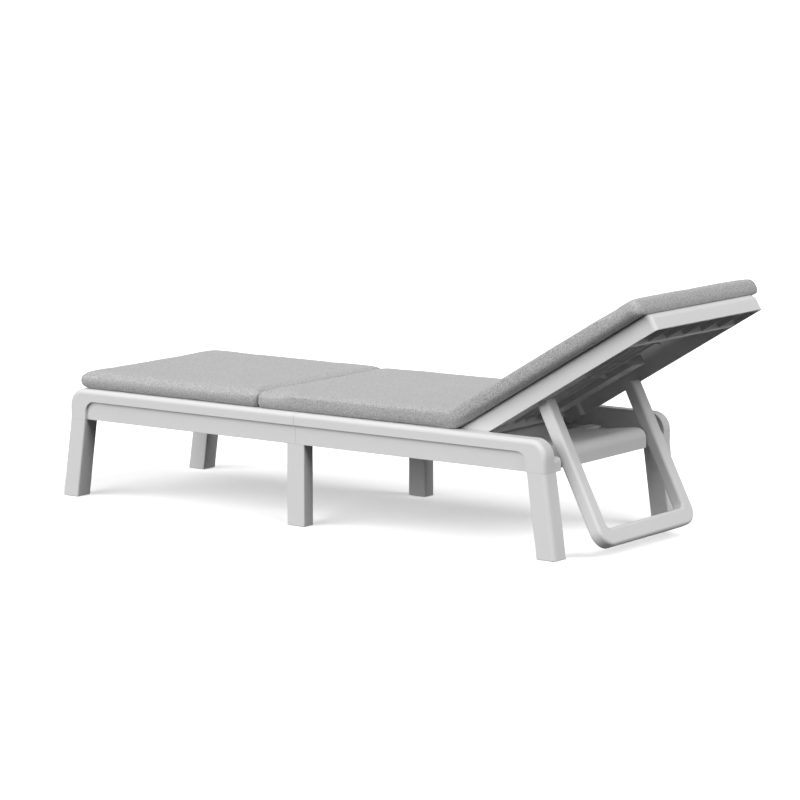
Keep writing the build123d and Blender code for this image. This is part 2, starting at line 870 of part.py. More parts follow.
def screw_group(screws):
    """The left screws and their right twins as one group."""
    return Compound(children=[*screws, *[other_side(screw) for screw in screws]])


def make_screws():
    """Groups of like screws."""
    foot_places = [frame_length - x for x in end_screw_places()]
    mid_places = mid_screw_places()
    foot_deck_places = deck_screw_places()[:2]
    seat_deck_places = deck_screw_places()[2:]
    bar = wall_screw(seam_place, pin_head_height - rail_inner)
    return {
        "foot_leg_screws": screw_group([wall_screw(x, -rail_inner) for x in foot_places]),
        "mid_leg_screws": screw_group([wall_screw(x, -rail_inner) for x in mid_places]),
        "head_leg_screws": screw_group(
            [wall_screw(x, -rail_inner) for x in end_screw_places()]),
        "crossbar_screws": both_sides(bar),
        "foot_deck_screws": screw_group([deck_screw(x) for x in foot_deck_places]),
        "seat_deck_screws": screw_group([deck_screw(x) for x in seat_deck_places]),
    }


# Pads

def pad_section(low):
    """A pad seen along its length: flat below, crowned above, full round edges."""
    radius = pad_edge / 2
    side = pad_half_width - radius
    right = ThreePointArc((side, low), (pad_half_width, low + radius), (side, low + pad_edge))
    top = ThreePointArc((side, low + pad_edge), (0, low + pad_edge + pad_crown),
                        (-side, low + pad_edge))
    left = ThreePointArc((-side, low + pad_edge), (-pad_half_width, low + radius), (-side, low))
    return make_face([Line((-side, low), (side, low)), right, top, left])


def pad_side(x0, x1, low, round_start, round_end):
    """A pad seen from the side, with full round ends where asked."""
    high = low + pad_edge + pad_crown
    radius = (high - low) / 2 - fit_clearance
    face = outline((x0, low), (x1, low), (x1, high), (x0, high))
    ends = face.vertices().sort_by(Axis.X)
    corners = (ends[:2] if round_start else []) + (ends[-2:] if round_end else [])
    return fillet(corners, radius)


def make_pad(x0, x1, low, round_start, round_end):
    """A pad from its three views."""
    plan = outline((x0, -pad_half_width), (x1, -pad_half_width), (x1, pad_half_width),
                   (x0, pad_half_width))
    ends = plan.vertices().sort_by(Axis.X)
    corners = (ends[:2] if round_start else []) + (ends[-2:] if round_end else [])
    plan = fillet(corners, pad_plan_round)
    body = along_x(pad_section(low), x0, x1)
    body &= along_y(pad_side(x0, x1, low, round_start, round_end), -pad_half_width,
                    pad_half_width)
    return body & along_z(plan, low - overrun, low + pad_edge + pad_crown + overrun)


def mitre_block(past):
    """Space on one side of the fold between seat pad and back pad."""
    half_tilt = radians(rest_tilt) / 2
    low = rail_top + pad_lift
    rise = hinge_z + (back_top + pad_lift) / cos(radians(rest_tilt)) - low
    fold_x = hinge_x - rise / sin(radians(rest_tilt)) * cos(radians(rest_tilt))
    plane = Plane(origin=(fold_x, 0, low), x_dir=(cos(half_tilt), 0, sin(half_tilt)),
                  z_dir=(-sin(half_tilt), 0, cos(half_tilt)))
    size = frame_length
    start = mitre_gap / 2 if past else -mitre_gap / 2 - size
    cut = block(start, start + size, -frame_half_width, frame_half_width, -size, size)
    return plane.location * cut


def make_pads():
    """Foot, seat and back pad; the last two meet on the fold's middle plane."""
    low = rail_top + pad_lift
    foot = make_pad(pad_front, pad_split - pad_split_gap / 2, low, True, True)
    seat = make_pad(pad_split + pad_split_gap / 2, hinge_x, low, True, False)
    back = make_pad(-back_top - back_top, pad_end, back_top + pad_lift, False, True)
    return {
        "foot_pad": foot,
        "seat_pad": seat & mitre_block(False),
        "back_pad": tilted(back) & mitre_block(True),
    }


def make_pieces():
    """Every node of the lounger."""
    rack = rack_left()
    pieces = {**make_rails(), **make_legs(), **make_pins(), **make_screws(), **make_pads()}
    pieces["foot_crossbar"] = foot_crossbar()
    pieces["mid_crossbar"] = mid_crossbar()
    pieces["rear_crossbar"] = rear_crossbar()
    pieces["rear_strip"] = rear_strip()
    pieces["slot_floor"] = slot_floor()
    foot_start = frame_length - rail_end + corner_depth + fit_clearance
    pieces["foot_deck"] = make_deck(foot_start, seam_place - seam_gap / 2)
    pieces["seat_deck"] = make_deck(seam_place + seam_gap / 2, seat_deck_end)
    pieces["seat_deck"] += deck_lip(seat_deck_end)
    pieces["backrest_panel"] = tilted(backrest_panel())
    pieces["hinge_bushes"] = tilted(hinge_bushes())
    pieces["rack_left"] = tilted(rack)
    pieces["rack_right"] = tilted(other_side(rack))
    pieces["rack_screws"] = tilted(rack_screws())
    pieces["prop_frame"] = leaned(prop_frame())
    pieces["prop_bushes"] = leaned(prop_bushes())
    return pieces


def main():
    """Centre the lounger on its own box and write one file for each node."""
    pieces = make_pieces()
    box = Compound(children=[copy.copy(piece) for piece in pieces.values()]).bounding_box()
    shift = Pos(-(box.min.X + box.max.X) / 2, 0, -box.min.Z)
    print("shift", shift.position)
    os.makedirs("parts", exist_ok=True)
    for name, piece in pieces.items():
        export_step(shift * piece, f"parts/{name}.step")


main()
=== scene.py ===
"""Garden lounger: looks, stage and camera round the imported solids."""
import json
from math import cos, pi, radians, sin, sqrt

import bmesh
import bpy
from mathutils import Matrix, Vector


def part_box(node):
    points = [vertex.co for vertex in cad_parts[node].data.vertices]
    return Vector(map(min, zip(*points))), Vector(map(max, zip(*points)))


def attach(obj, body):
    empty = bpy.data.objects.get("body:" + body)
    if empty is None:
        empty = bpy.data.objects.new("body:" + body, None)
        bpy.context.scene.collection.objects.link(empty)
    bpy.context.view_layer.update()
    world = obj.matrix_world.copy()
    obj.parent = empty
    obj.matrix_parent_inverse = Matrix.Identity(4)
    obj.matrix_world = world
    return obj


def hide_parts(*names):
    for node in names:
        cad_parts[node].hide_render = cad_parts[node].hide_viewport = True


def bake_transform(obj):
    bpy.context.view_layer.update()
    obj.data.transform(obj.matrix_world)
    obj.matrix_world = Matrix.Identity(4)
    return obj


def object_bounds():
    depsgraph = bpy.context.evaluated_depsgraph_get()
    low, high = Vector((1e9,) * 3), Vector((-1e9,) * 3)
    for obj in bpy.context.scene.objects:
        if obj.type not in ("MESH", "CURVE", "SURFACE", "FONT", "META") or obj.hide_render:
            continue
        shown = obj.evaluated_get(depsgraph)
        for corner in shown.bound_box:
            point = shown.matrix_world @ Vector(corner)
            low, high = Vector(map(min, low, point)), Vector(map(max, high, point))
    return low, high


bl_info = {
    "name": "Moulded garden lounger",
    "version": (1, 0, 0),
    "blender": (4, 5, 0),
    "location": "View3D > Sidebar > Lounger",
    "description": "Dresses the lounger's solids with pads, fastenings, finishes and a studio",
    "category": "Object",
}

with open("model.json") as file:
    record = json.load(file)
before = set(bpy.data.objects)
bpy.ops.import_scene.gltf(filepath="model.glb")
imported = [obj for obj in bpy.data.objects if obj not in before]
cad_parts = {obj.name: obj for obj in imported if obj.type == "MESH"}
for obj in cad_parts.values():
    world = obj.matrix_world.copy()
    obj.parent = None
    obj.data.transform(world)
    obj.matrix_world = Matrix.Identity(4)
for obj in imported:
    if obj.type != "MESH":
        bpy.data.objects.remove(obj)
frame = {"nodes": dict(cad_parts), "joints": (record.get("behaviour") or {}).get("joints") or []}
CAD_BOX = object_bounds()

HINGE = next(j for j in frame["joints"] if j["name"] == "backrest_hinge")["pos_m"]
TILT = radians(31.0)
ALONG_BACK = Vector((cos(TILT), 0, sin(TILT)))
OFF_BACK = Vector((-sin(TILT), 0, cos(TILT)))

# The backrest's moulding and pad, along and off the backrest from the hinge
BACK_TOP = 0.0318
BACK_END = 0.681
BACK_ROUND = 0.020
BACK_PAD_END = 0.682

# How the pads lie and how their edges are rounded; shares are of their thickness
PAD_GAP = 0.0004
PAD_PRESSURE = 4.0
SWELL_FRAMES = 20
SIDE_ALLOWANCE = 0.001
EDGE_ROUND_SHARE = 0.49
SEAM_ROUND_SHARE = 0.2
END_ROUND_SHARE = 0.85
FOOT_OVERHANG = 0.002
FOLD_BEND = 0.03
END_DROP = 0.017
END_RISE = 0.002
FOLD_MARGIN = 0.1

# How finely meshes are built
ROUND_STEPS = 8
LEAST_RADIUS = 0.0005
WELD = 1e-6
HEAD_SIDES, SOCKET_SIDES, SHANK_SIDES = 32, 6, 16


# Sizes and colours a user would change

class LoungerSizes(bpy.types.PropertyGroup):
    pad_thickness: bpy.props.FloatProperty(
        name="Pad thickness", description="Thickness of the pads at their edges",
        default=0.043, unit="LENGTH")
    pad_swell: bpy.props.FloatProperty(
        name="Pad swell", description="How far the filling may push the cover out",
        default=0.006, unit="LENGTH")
    voxel: bpy.props.FloatProperty(
        name="Cloth grid", description="Spacing of the cover's mesh before it is smoothed",
        default=0.006, unit="LENGTH")
    floor_reach: bpy.props.FloatProperty(
        name="Floor reach", description="Half the side of the studio floor",
        default=60.0, unit="LENGTH")


class LoungerColours(bpy.types.PropertyGroup):
    frame_hex: bpy.props.StringProperty(
        name="Frame", description="Moulded frame colour, sRGB hex", default="#DADADA")
    rack_hex: bpy.props.StringProperty(
        name="Racks", description="Rack colour, sRGB hex", default="#C9C9C9")
    yarn_light_hex: bpy.props.StringProperty(
        name="Light yarn", description="Lightest yarn of the cover, sRGB hex",
        default="#C1C1C1")
    yarn_mid_hex: bpy.props.StringProperty(
        name="Middle yarn", description="Main yarn of the cover, sRGB hex",
        default="#A9A9A9")
    yarn_dark_hex: bpy.props.StringProperty(
        name="Dark yarn", description="Darkest yarn of the cover, sRGB hex",
        default="#8C8C8D")
    steel_hex: bpy.props.StringProperty(
        name="Steel", description="Stainless steel, sRGB hex", default="#B9BABC")
    glide_hex: bpy.props.StringProperty(
        name="Glides", description="Rubber of the glides, sRGB hex", default="#3A3A3A")
    floor_hex: bpy.props.StringProperty(
        name="Floor", description="Floor as the object sees it, sRGB hex", default="#3A3A3A")


def sizes():
    """The scene's sizes."""
    return bpy.context.scene.lounger_sizes


def colours():
    """The scene's colours."""
    return bpy.context.scene.lounger_colours


# Material helpers

def linear(hex_colour):
    """An sRGB hex colour as linear red, green, blue and full alpha."""
    digits = hex_colour.lstrip("#")
    parts = [int(digits[i:i + 2], 16) / 255 for i in (0, 2, 4)]
    values = [c / 12.92 if c <= 0.04045 else ((c + 0.055) / 1.055) ** 2.4 for c in parts]
    return [*values, 1.0]


def add_node(tree, kind, settings=None, **links):
    """Add a node, set its properties and inputs, and link inputs given as sockets."""
    node = tree.nodes.new(kind)
    for key, value in (settings or {}).items():
        setattr(node, key, value)
    for key, value in links.items():
        name = key.replace("_", " ")
        by_number = key[0] == "i" and key[1:].isdigit()
        socket = node.inputs[int(key[1:]) if by_number else name]
        if isinstance(value, bpy.types.NodeSocket):
            tree.links.new(value, socket)
        else:
            socket.default_value = value
    return node


def new_material(name):
    """An empty node material with its surface shader and output."""
    material = bpy.data.materials.new(name)
    material.use_nodes = True
    tree = material.node_tree
    tree.nodes.clear()
    shader = add_node(tree, "ShaderNodeBsdfPrincipled")
    output = add_node(tree, "ShaderNodeOutputMaterial")
    tree.links.new(shader.outputs["BSDF"], output.inputs["Surface"])
    return material, tree, shader


def moulded_plastic(name, hex_colour, roughness):
    """Injection-moulded polypropylene: satin, with a fine spark-eroded grain."""
    material, tree, shader = new_material(name)
    place = add_node(tree, "ShaderNodeTexCoord").outputs["Object"]
    # The grain is about 0.6 mm in the tool and is drawn at 1.6 mm so that it shows
    grain_size, cloud_size, cloud_share = 0.0016, 0.22, 0.955
    grain = add_node(tree, "ShaderNodeTexNoise", Vector=place, Scale=1 / grain_size,
                     Detail=2.0)
    cloud = add_node(tree, "ShaderNodeTexNoise", Vector=place, Scale=1 / cloud_size,
                     Detail=3.0)
    base = linear(hex_colour)
    darker = [c * cloud_share for c in base[:3]] + [1.0]
    mix = add_node(tree, "ShaderNodeMix", {"data_type": "RGBA"}, i0=cloud.outputs["Fac"],
                   i6=darker, i7=base)
    tree.links.new(mix.outputs[2], shader.inputs["Base Color"])
    gloss = add_node(tree, "ShaderNodeMapRange", Value=grain.outputs["Fac"],
                     To_Min=roughness - 0.05, To_Max=roughness + 0.07)
    tree.links.new(gloss.outputs["Result"], shader.inputs["Roughness"])
    edge = add_node(tree, "ShaderNodeBevel", {"samples": 4}, Radius=0.0018)
    bump = add_node(tree, "ShaderNodeBump", Strength=0.12, Distance=0.0002,
                    Height=grain.outputs["Fac"], Normal=edge.outputs["Normal"])
    tree.links.new(bump.outputs["Normal"], shader.inputs["Normal"])
    shader.inputs["IOR"].default_value = 1.49
    shader.inputs["Specular IOR Level"].default_value = 0.15
    return material


def woven_fabric():
    """Woven melange acrylic: a plain weave of mixed light and dark yarns, matt and soft."""
    c = colours()
    material, tree, shader = new_material("woven_melange_acrylic")
    place = add_node(tree, "ShaderNodeTexCoord").outputs["Object"]
    # Yarns are about 0.8 mm apart; slubs are drawn 3.6 mm wide so that they show
    slub_size, fleck_size, cloud_size = 0.0036, 0.0022, 0.06
    fleck_share, cloud_share = 0.55, 0.04
    dark_place, middle_place, light_place = 0.66, 0.79, 0.92
    slub = add_node(tree, "ShaderNodeTexNoise", Vector=place, Scale=1 / slub_size, Detail=4.0,
                    Roughness=0.75)
    fleck = add_node(tree, "ShaderNodeTexNoise", Vector=place, Scale=1 / fleck_size,
                     Detail=2.0, Roughness=0.8)
    cloud = add_node(tree, "ShaderNodeTexNoise", Vector=place, Scale=1 / cloud_size,
                     Detail=3.0)
    total = add_node(tree, "ShaderNodeMath", {"operation": "MULTIPLY_ADD"},
                     i0=fleck.outputs["Fac"], i1=fleck_share, i2=slub.outputs["Fac"])
    total = add_node(tree, "ShaderNodeMath", {"operation": "MULTIPLY_ADD"},
                     i0=cloud.outputs["Fac"], i1=cloud_share, i2=total.outputs[0])
    ramp = add_node(tree, "ShaderNodeValToRGB")
    dark, light = ramp.color_ramp.elements
    dark.position = dark_place
    dark.color = linear(c.yarn_dark_hex)
    light.position = light_place
    light.color = linear(c.yarn_light_hex)
    middle = ramp.color_ramp.elements.new(middle_place)
    middle.color = linear(c.yarn_mid_hex)
    tree.links.new(total.outputs[0], ramp.inputs["Fac"])
    tree.links.new(ramp.outputs["Color"], shader.inputs["Base Color"])
    bump = add_node(tree, "ShaderNodeBump", Strength=0.35, Distance=0.0006,
                    Height=total.outputs[0])
    tree.links.new(bump.outputs["Normal"], shader.inputs["Normal"])
    shader.inputs["Roughness"].default_value = 0.92
    shader.inputs["Specular IOR Level"].default_value = 0.2
    shader.inputs["Sheen Weight"].default_value = 0.25
    shader.inputs["Sheen Roughness"].default_value = 0.5
    return material


def turned_steel():
    """Turned stainless steel: bright, with fine tool marks."""
    material, tree, shader = new_material("turned_stainless_steel")
    place = add_node(tree, "ShaderNodeTexCoord").outputs["Object"]
    mark_size = 0.0008
    marks = add_node(tree, "ShaderNodeTexNoise", Vector=place, Scale=1 / mark_size,
                     Detail=2.0)
    shader.inputs["Base Color"].default_value = linear(colours().steel_hex)
    shader.inputs["Metallic"].default_value = 1.0
    rough = add_node(tree, "ShaderNodeMapRange", Value=marks.outputs["Fac"], To_Min=0.25,
                     To_Max=0.42)
    tree.links.new(rough.outputs["Result"], shader.inputs["Roughness"])
    return material


def moulded_rubber():
    """Moulded rubber: dark and matt, slightly dusty."""
    material, tree, shader = new_material("moulded_rubber")
    place = add_node(tree, "ShaderNodeTexCoord").outputs["Object"]
    dust_size, dust_share = 0.012, 1.6
    dust = add_node(tree, "ShaderNodeTexNoise", Vector=place, Scale=1 / dust_size, Detail=5.0)
    base = linear(colours().glide_hex)
    pale = [c * dust_share for c in base[:3]] + [1.0]
    mix = add_node(tree, "ShaderNodeMix", {"data_type": "RGBA"}, i0=dust.outputs["Fac"],
                   i6=base, i7=pale)
    tree.links.new(mix.outputs[2], shader.inputs["Base Color"])
    shader.inputs["Roughness"].default_value = 0.8
    return material


# Solids that keep their shape

def dress(node, material):
    """Give a solid its finish."""
    piece = frame["nodes"][node]
    piece.data.materials.clear()
    piece.data.materials.append(material)


class LOUNGER_OT_finishes(bpy.types.Operator):
    """Give every rigid solid its finish"""
    bl_idname = "lounger.finishes"
    bl_label = "Rigid finishes"

    def execute(self, context):
        c = colours()
        plastic = moulded_plastic("moulded_polypropylene", c.frame_hex, 0.52)
        rack = moulded_plastic("moulded_polypropylene_rack", c.rack_hex, 0.5)
        steel = turned_steel()
        rubber = moulded_rubber()
        for node in frame["nodes"]:
            if "screws" in node or "pins" in node:
                dress(node, steel)
            elif node == "leg_glides":
                dress(node, rubber)
            elif node.startswith("rack_") or "bushes" in node:
                dress(node, rack)
            elif not node.endswith("_pad"):
                dress(node, plastic)
        return {"FINISHED"}


# Pads

def mesh_object(name, mesh):
    """Put a mesh in the scene under a name."""
    piece = bpy.data.objects.new(name, mesh)
    bpy.context.scene.collection.objects.link(piece)
    return piece


def inset_loop(corners, inset):
    """A side profile drawn in by an inset, each corner rounded by its own radius.

    corners holds X, Z and radius, anticlockwise with X to the right and Z up."""
    count = len(corners)
    points = [Vector(corner[:2]) for corner in corners]
    sides = [(points[(i + 1) % count] - points[i]).normalized() for i in range(count)]
    loop = []
    for i in range(count):
        before, after = sides[i - 1], sides[i]
        inward = Vector((-before.y, before.x)) + Vector((-after.y, after.x))
        turn = before.angle_signed(after)
        vertex = points[i] + inward * inset / (1 + cos(turn))
        radius = max(corners[i][2] - inset, LEAST_RADIUS)
        if corners[i][2] == 0:
            loop += [vertex] * (ROUND_STEPS + 1)
            continue
        centre = vertex + inward * radius / (1 + cos(turn))
        start = Vector((before.y, -before.x))
        for step in range(ROUND_STEPS + 1):
            loop.append(centre + radius * rotated(start, abs(turn) * step / ROUND_STEPS))
    return loop


def rotated(vector, angle):
    """A flat vector turned anticlockwise."""
    return Vector((vector.x * cos(angle) - vector.y * sin(angle),
                   vector.x * sin(angle) + vector.y * cos(angle)))


def rounded_slab(corners, half_width, edge):
    """A slab across a side profile, its sides rounded by a radius."""
    mesh = bpy.data.meshes.new("slab")
    bm = bmesh.new()
    rows = []
    for side in (-1, 1):
        for step in range(ROUND_STEPS + 1):
            angle = pi / 2 * (step if side > 0 else ROUND_STEPS - step) / ROUND_STEPS
            y = side * (half_width - edge + edge * sin(angle))
            loop = inset_loop(corners, edge - edge * cos(angle))
            rows.append([bm.verts.new((point.x, y, point.y)) for point in loop])
    count = len(rows[0])
    for low, high in zip(rows, rows[1:]):
        for i in range(count):
            j = (i + 1) % count
            bm.faces.new((low[i], low[j], high[j], high[i]))
    bm.faces.new(list(reversed(rows[0])))
    bm.faces.new(rows[-1])
    bmesh.ops.remove_doubles(bm, verts=bm.verts, dist=WELD)
    bmesh.ops.recalc_face_normals(bm, faces=bm.faces)
    bm.to_mesh(mesh)
    bm.free()
    return mesh


def remeshed(mesh, name, voxel):
    """The mesh rebuilt on an even grid and evened out."""
    piece = mesh_object(name, mesh)
    remesh = piece.modifiers.new("grid", "REMESH")
    remesh.mode = "VOXEL"
    remesh.voxel_size = voxel
    remesh.use_smooth_shade = True
    even = piece.modifiers.new("even", "SMOOTH")
    even.factor = 0.5
    even.iterations = 6
    result = bpy.data.meshes.new_from_object(
        piece.evaluated_get(bpy.context.evaluated_depsgraph_get()))
    piece.modifiers.clear()
    piece.data = result
    return piece


def inflate(piece, pressure, cap):
    """Swell a cover by its filling, with a cap on how far any point may move."""
    scene = bpy.context.scene
    start = [v.co.copy() for v in piece.data.vertices]
    cloth = piece.modifiers.new("cover", "CLOTH")
    settings = cloth.settings
    settings.quality = 5
    settings.mass = 0.3
    settings.tension_stiffness = 18
    settings.compression_stiffness = 18
    settings.shear_stiffness = 8
    settings.bending_stiffness = 1.5
    settings.use_pressure = True
    settings.uniform_pressure_force = pressure
    settings.effector_weights.gravity = 0
    cloth.point_cache.frame_start = 1
    cloth.point_cache.frame_end = SWELL_FRAMES
    for number in range(1, SWELL_FRAMES + 1):
        scene.frame_set(number)
    swollen = bpy.data.meshes.new_from_object(
        piece.evaluated_get(bpy.context.evaluated_depsgraph_get()))
    piece.modifiers.clear()
    for vertex, moved, rest in zip(piece.data.vertices, swollen.vertices, start):
        step = moved.co - rest
        if step.length > cap:
            step = step.normalized() * cap
        vertex.co = rest + step
    bpy.data.meshes.remove(swollen)
    scene.frame_set(1)


def smooth_once(piece):
    """One level of subdivision, made part of the mesh."""
    subdivision = piece.modifiers.new("smooth", "SUBSURF")
    subdivision.levels = 1
    subdivision.render_levels = 1
    mesh = bpy.data.meshes.new_from_object(
        piece.evaluated_get(bpy.context.evaluated_depsgraph_get()))
    piece.modifiers.clear()
    piece.data = mesh
    for polygon in mesh.polygons:
        polygon.use_smooth = True


def back_point(along, off):
    """A point in X and Z, given along the backrest and off it, from the hinge."""
    point = Vector(HINGE) + ALONG_BACK * along + OFF_BACK * off
    return point.x, point.z


def back_surface(along):
    """How far off the hinge line the backrest's top lies, round its head end too."""
    past = min(max(along - (BACK_END - BACK_ROUND), 0), BACK_ROUND)
    return BACK_TOP - BACK_ROUND + sqrt(BACK_ROUND ** 2 - past ** 2)


def pad_half_width():
    """Half the pads' width before they swell."""
    low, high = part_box("foot_pad")
    return (high.y - low.y) / 2 - sizes().pad_swell * 0.5


def stretch(piece, half_width, fold, ends, keep_inside):
    """Stretch a pad again to its full width and length, and keep it in its own space.

    fold is the X where the length is measured from, ends the two places to reach:
    X at the foot side, and X or the way along the backrest at the head side."""
    points = [vertex.co for vertex in piece.data.vertices]
    widest = max(abs(point.y) for point in points)
    first = min(point.x for point in points)
    last = max(length_past(point, fold) for point in points)
    for vertex in piece.data.vertices:
        point = vertex.co.copy()
        past = length_past(point, fold)
        if past > 0:
            way = ALONG_BACK if up_the_back(fold) else Vector((1, 0, 0))
            point += way * past * (ends[1] / last - 1)
        else:
            point.x += (ends[0] - first) * (fold - point.x) / (fold - first)
        point.y *= half_width / widest
        vertex.co = keep_inside(point)


def up_the_back(fold):
    """Whether the fold lies at the hinge, so that the pad runs up the backrest."""
    return fold > HINGE[0] - FOLD_MARGIN


def length_past(point, fold):
    """How far a point lies past the fold, along the backrest or along X."""
    if up_the_back(fold):
        return (point - Vector((fold, 0, HINGE[2]))).dot(ALONG_BACK)
    return point.x - fold


def finish_pad(piece, material, fold, ends, keep_inside):
    """Swell, smooth and cover a pad."""
    inflate(piece, PAD_PRESSURE, sizes().pad_swell)
    half_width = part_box("foot_pad")[1].y + SIDE_ALLOWANCE
    stretch(piece, half_width, fold, ends, keep_inside)
    smooth_once(piece)
    for polygon in piece.data.polygons:
        polygon.use_smooth = True
    piece.data.materials.clear()
    piece.data.materials.append(material)


class LOUNGER_OT_pads(bpy.types.Operator):
    """Make the foot pad and the pad that runs over the fold"""
    bl_idname = "lounger.pads"
    bl_label = "Pads"

    def execute(self, context):
        fabric = woven_fabric()
        self.make_foot_pad(fabric)
        self.make_long_pad(fabric)
        return {"FINISHED"}

    def make_foot_pad(self, fabric):
        """The flat pad at the foot end."""
        s = sizes()
        low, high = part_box("foot_pad")
        base = low.z + PAD_GAP
        top = base + s.pad_thickness
        full = s.pad_thickness * EDGE_ROUND_SHARE
        tight = s.pad_thickness * SEAM_ROUND_SHARE
        profile = [(low.x, base, full), (high.x, base, tight),
                   (high.x, top, tight), (low.x, top, full)]
        pad = remeshed(rounded_slab(profile, pad_half_width(), full), "foot_cushion",
                       s.voxel)

        def keep_inside(point):
            point.z = max(point.z, base)
            point.x = min(point.x, high.x)
            return point

        middle = (low.x + high.x) / 2
        ends = (low.x - FOOT_OVERHANG, high.x - middle)
        finish_pad(pad, fabric, middle, ends, keep_inside)
        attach(pad, "frame")
        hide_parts("foot_pad")

    def make_long_pad(self, fabric):
        """The pad that lies on the seat and runs up the backrest."""
        s = sizes()
        low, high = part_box("seat_pad")
        base = low.z + PAD_GAP
        top = base + s.pad_thickness
        full = s.pad_thickness * EDGE_ROUND_SHARE
        tight = s.pad_thickness * SEAM_ROUND_SHARE
        rise = base - HINGE[2]
        lower = BACK_TOP + PAD_GAP
        upper = lower + s.pad_thickness
        fold = (lower - rise * cos(TILT)) / -sin(TILT)
        fold_top = (upper - (top - HINGE[2]) * cos(TILT)) / -sin(TILT)
        end_round = full * END_ROUND_SHARE
        profile = [(low.x, base, tight), (HINGE[0] + fold - FOLD_BEND, base, 0),
                   (*back_point(fold / cos(TILT) + FOLD_BEND, lower), 0),
                   (*back_point(BACK_END - BACK_ROUND * 1.5, lower), 0),
                   (*back_point(BACK_PAD_END, lower - END_DROP), end_round),
                   (*back_point(BACK_PAD_END, upper + END_RISE), end_round),
                   (HINGE[0] + fold_top, top, 0), (low.x, top, tight)]
        pad = remeshed(rounded_slab(profile, pad_half_width(), full), "seat_back_cushion",
                       s.voxel)

        def keep_inside(point):
            point.z = max(point.z, base)
            point.x = max(point.x, low.x)
            off = (point - Vector(HINGE)).dot(OFF_BACK)
            along = (point - Vector(HINGE)).dot(ALONG_BACK)
            least = back_surface(along) + PAD_GAP
            if off < least and along < BACK_END:
                point = point + OFF_BACK * (least - off)
            return point

        fold_x = HINGE[0] + fold
        past = BACK_PAD_END - (fold_x - HINGE[0]) * cos(TILT)
        finish_pad(pad, fabric, fold_x, (low.x, past), keep_inside)
        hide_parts("seat_pad", "back_pad")
        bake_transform(pad)


# Screws

def screw_tree():
    """Geometry nodes that put a socket-head screw at every point, facing outwards."""
    tree = bpy.data.node_groups.new("socket_head_screws", "GeometryNodeTree")
    sockets = tree.interface
    sockets.new_socket("Geometry", in_out="INPUT", socket_type="NodeSocketGeometry")
    for name in ("Head radius", "Head height", "Shank radius", "Shank length"):
        sockets.new_socket(name, in_out="INPUT", socket_type="NodeSocketFloat")
    sockets.new_socket("Finish", in_out="INPUT", socket_type="NodeSocketMaterial")
    sockets.new_socket("Geometry", in_out="OUTPUT", socket_type="NodeSocketGeometry")
    given = add_node(tree, "NodeGroupInput").outputs
    socket_share, socket_rise = 0.55, 0.1
    head = moved_cylinder(tree, HEAD_SIDES, given["Head radius"], given["Head height"],
                          given["Head height"], -0.5)
    socket_radius = add_node(tree, "ShaderNodeMath", {"operation": "MULTIPLY"},
                             i0=given["Head radius"], i1=socket_share)
    recess = moved_cylinder(tree, SOCKET_SIDES, socket_radius.outputs[0],
                            given["Head height"], given["Head height"], socket_rise)
    cut = add_node(tree, "GeometryNodeMeshBoolean",
                   {"operation": "DIFFERENCE", "solver": "EXACT"}, Mesh_1=head)
    tree.links.new(recess, cut.inputs["Mesh 2"])
    total = add_node(tree, "ShaderNodeMath", {"operation": "MULTIPLY_ADD"},
                     i0=given["Shank length"], i1=0.5, i2=given["Head height"])
    shank = moved_cylinder(tree, SHANK_SIDES, given["Shank radius"], given["Shank length"],
                           total.outputs[0], -1.0)
    screw = add_node(tree, "GeometryNodeJoinGeometry")
    tree.links.new(cut.outputs["Mesh"], screw.inputs[0])
    tree.links.new(shank, screw.inputs[0])
    facing = add_node(tree, "GeometryNodeInputNamedAttribute", {"data_type": "FLOAT_VECTOR"},
                      Name="facing")
    turn = add_node(tree, "FunctionNodeAlignRotationToVector", {"axis": "Z"},
                    Vector=facing.outputs["Attribute"])
    placed = add_node(tree, "GeometryNodeInstanceOnPoints", Points=given["Geometry"],
                      Instance=screw.outputs[0], Rotation=turn.outputs[0])
    real = add_node(tree, "GeometryNodeRealizeInstances", Geometry=placed.outputs[0])
    finished = add_node(tree, "GeometryNodeSetMaterial", Geometry=real.outputs[0],
                        Material=given["Finish"])
    output = add_node(tree, "NodeGroupOutput")
    tree.links.new(finished.outputs[0], output.inputs[0])
    return tree


def moved_cylinder(tree, sides, radius, depth, distance, factor):
    """A cylinder moved along its own axis by a factor of a distance."""
    body = add_node(tree, "GeometryNodeMeshCylinder", Vertices=sides, Radius=radius,
                    Depth=depth)
    along = add_node(tree, "ShaderNodeMath", {"operation": "MULTIPLY"}, i0=distance, i1=factor)
    offset = add_node(tree, "ShaderNodeCombineXYZ", Z=along.outputs[0])
    moved = add_node(tree, "GeometryNodeTransform", Geometry=body.outputs["Mesh"],
                     Translation=offset.outputs[0])
    return moved.outputs[0]


